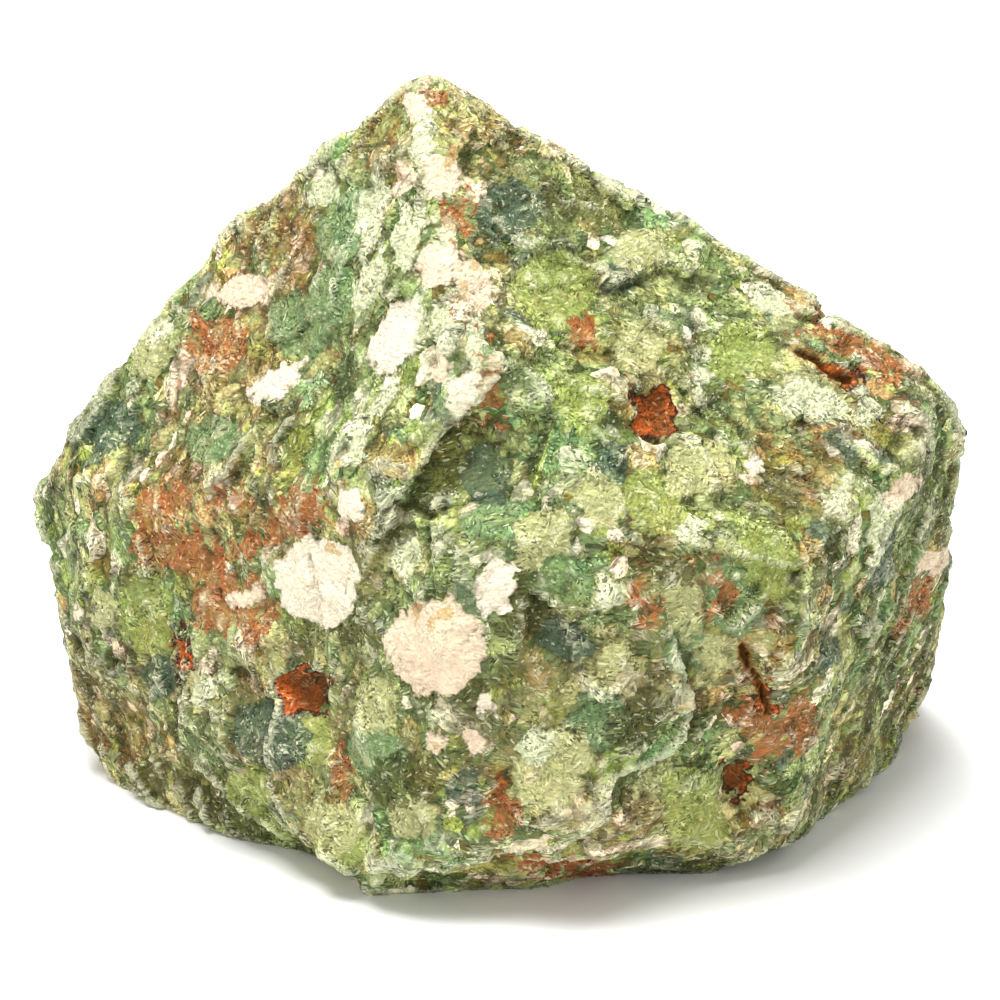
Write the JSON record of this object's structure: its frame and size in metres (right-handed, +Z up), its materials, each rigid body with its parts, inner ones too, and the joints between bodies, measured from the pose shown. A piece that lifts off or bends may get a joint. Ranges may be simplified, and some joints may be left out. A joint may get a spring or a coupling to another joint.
{
  "type": "rhyolite stone",
  "caption": "Angular broken stone of mottled green rhyolite with a peak, two sloping fracture faces, pale round spherulites and a flat underside to rest on.",
  "frame": {"origin": "on the resting plane, under the middle of the stone's bounding box", "axes": "+Z up from the flat; -Y is the front with the pale spherulites; +X is to the right seen from the front"},
  "size_m": [0.082, 0.0602, 0.0692],
  "materials": {
    "rhyolite": "rough broken rock, matt, with a mosaic of green, cream and rust-brown grains"
  },
  "bodies": {
    "root": {"stone": "rhyolite"}
  },
  "joints": []
}
